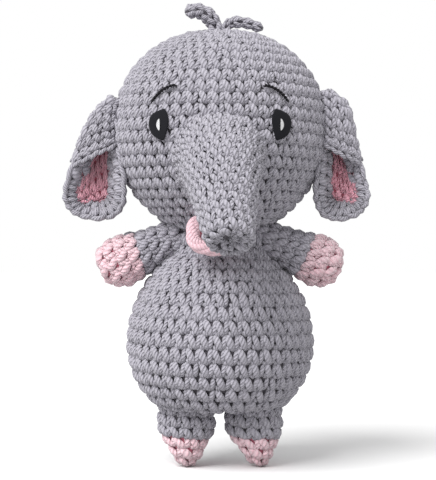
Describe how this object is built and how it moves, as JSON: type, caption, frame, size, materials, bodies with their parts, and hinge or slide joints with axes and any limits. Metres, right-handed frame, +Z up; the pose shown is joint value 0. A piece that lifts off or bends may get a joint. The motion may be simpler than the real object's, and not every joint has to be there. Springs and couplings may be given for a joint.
{
  "type": "stuffed elephant",
  "caption": "Crocheted elephant toy with a large round head, drooping ears, bent trunk, stub arms and legs; head and limbs flex at their sewn joints.",
  "frame": {"origin": "middle of the bounding box's bottom, level with the flattened soles", "axes": "+Z up through the crown, -Y the way the face looks, +X the toy's own left side"},
  "size_m": [0.1518, 0.1451, 0.2194],
  "materials": {
    "grey_yarn": "matte cotton yarn, single crochet",
    "pink_yarn": "matte cotton yarn, single crochet",
    "rose_yarn": "matte cotton yarn, single crochet",
    "lip_yarn": "matte cotton yarn, single crochet",
    "filling": "loose polyester fibre",
    "black_felt": "pressed felt",
    "black_thread": "twisted thread",
    "white_felt": "pressed felt"
  },
  "bodies": {
    "torso": {"body_cover": "grey_yarn", "body_filling": "filling", "right_arm_seam": "grey_yarn", "left_arm_seam": "grey_yarn"},
    "neck": {"neck_filling": "filling"},
    "head": {"head_cover": "grey_yarn", "head_filling": "filling", "neck_seam": "grey_yarn", "trunk_root_cover": "grey_yarn", "trunk_root_filling": "filling", "trunk_seam": "grey_yarn", "mouth_lip": "lip_yarn", "mouth_lining": "rose_yarn", "right_eye": "black_felt", "left_eye": "black_felt", "right_eye_glint": "white_felt", "left_eye_glint": "white_felt", "right_brow": "black_thread", "left_brow": "black_thread", "right_ear_seam": "grey_yarn", "left_ear_seam": "grey_yarn"},
    "trunk_end": {"trunk_end_cover": "grey_yarn", "trunk_tip_disc": "grey_yarn", "trunk_end_filling": "filling"},
    "right_arm": {"right_arm_cover": "grey_yarn", "right_hand_cover": "pink_yarn", "right_arm_filling": "filling"},
    "left_arm": {"left_arm_cover": "grey_yarn", "left_hand_cover": "pink_yarn", "left_arm_filling": "filling"},
    "right_leg": {"right_leg_cover": "grey_yarn", "right_foot_cover": "pink_yarn", "right_leg_filling": "filling"},
    "left_leg": {"left_leg_cover": "grey_yarn", "left_foot_cover": "pink_yarn", "left_leg_filling": "filling"},
    "right_ear": {"right_ear_cover": "grey_yarn", "right_ear_rim": "grey_yarn", "right_ear_middle": "rose_yarn"},
    "left_ear": {"left_ear_cover": "grey_yarn", "left_ear_rim": "grey_yarn", "left_ear_middle": "rose_yarn"},
    "right_tuft": {"right_hair_tuft": "grey_yarn"},
    "left_tuft": {"left_hair_tuft": "grey_yarn"},
    "tail": {"tail": "grey_yarn"}
  },
  "joints": [
    {"name": "neck_turn", "type": "hinge", "parent": "torso", "child": "neck", "pos_m": [0, 0.0213, 0.104], "axis": [0, 0, 1], "range_deg": [-30, 30], "stiffness_Nm_per_rad": 0.5},
    {"name": "neck_nod", "type": "hinge", "parent": "neck", "child": "head", "pos_m": [0, 0.0213, 0.104], "axis": [1, 0, 0], "range_deg": [-10, 10], "stiffness_Nm_per_rad": 0.6},
    {"name": "trunk_bend", "type": "hinge", "parent": "head", "child": "trunk_end", "pos_m": [0.00097, -0.04045, 0.13612], "axis": [1, 0, 0], "range_deg": [-12, 24], "stiffness_Nm_per_rad": 0.05},
    {"name": "right_arm_swing", "type": "hinge", "parent": "torso", "child": "right_arm", "pos_m": [-0.0274, 0.0183, 0.1046], "axis": [-0.3827, 0, 0.9239], "range_deg": [-25, 30], "stiffness_Nm_per_rad": 0.05},
    {"name": "left_arm_swing", "type": "hinge", "parent": "torso", "child": "left_arm", "pos_m": [0.0274, 0.0183, 0.1046], "axis": [0.3827, 0, 0.9239], "range_deg": [-30, 25], "stiffness_Nm_per_rad": 0.05},
    {"name": "right_hip_bend", "type": "hinge", "parent": "torso", "child": "right_leg", "pos_m": [-0.016, 0.0183, 0.022], "axis": [-1, 0, 0], "range_deg": [-10, 16], "stiffness_Nm_per_rad": 1.2},
    {"name": "left_hip_bend", "type": "hinge", "parent": "torso", "child": "left_leg", "pos_m": [0.016, 0.0183, 0.022], "axis": [-1, 0, 0], "range_deg": [-10, 16], "stiffness_Nm_per_rad": 1.2},
    {"name": "right_ear_flap", "type": "hinge", "parent": "head", "child": "right_ear", "pos_m": [-0.053, 0.0133, 0.16], "axis": [0, 0, 1], "range_deg": [-25, 30], "stiffness_Nm_per_rad": 0.03},
    {"name": "left_ear_flap", "type": "hinge", "parent": "head", "child": "left_ear", "pos_m": [0.053, 0.0133, 0.16], "axis": [0, 0, 1], "range_deg": [-30, 25], "stiffness_Nm_per_rad": 0.03},
    {"name": "right_tuft_bend", "type": "hinge", "parent": "head", "child": "right_tuft", "pos_m": [-0.002, 0.0163, 0.2095], "axis": [0, 1, 0], "range_deg": [-10, 25], "stiffness_Nm_per_rad": 0.004},
    {"name": "left_tuft_bend", "type": "hinge", "parent": "head", "child": "left_tuft", "pos_m": [0.0026, 0.0163, 0.2105], "axis": [0, -1, 0], "range_deg": [0, 40], "stiffness_Nm_per_rad": 0.004},
    {"name": "tail_wag", "type": "hinge", "parent": "torso", "child": "tail", "pos_m": [0, 0.0619, 0.049], "axis": [0, 1, 0], "range_deg": [-25, 25], "stiffness_Nm_per_rad": 0.004}
  ]
}
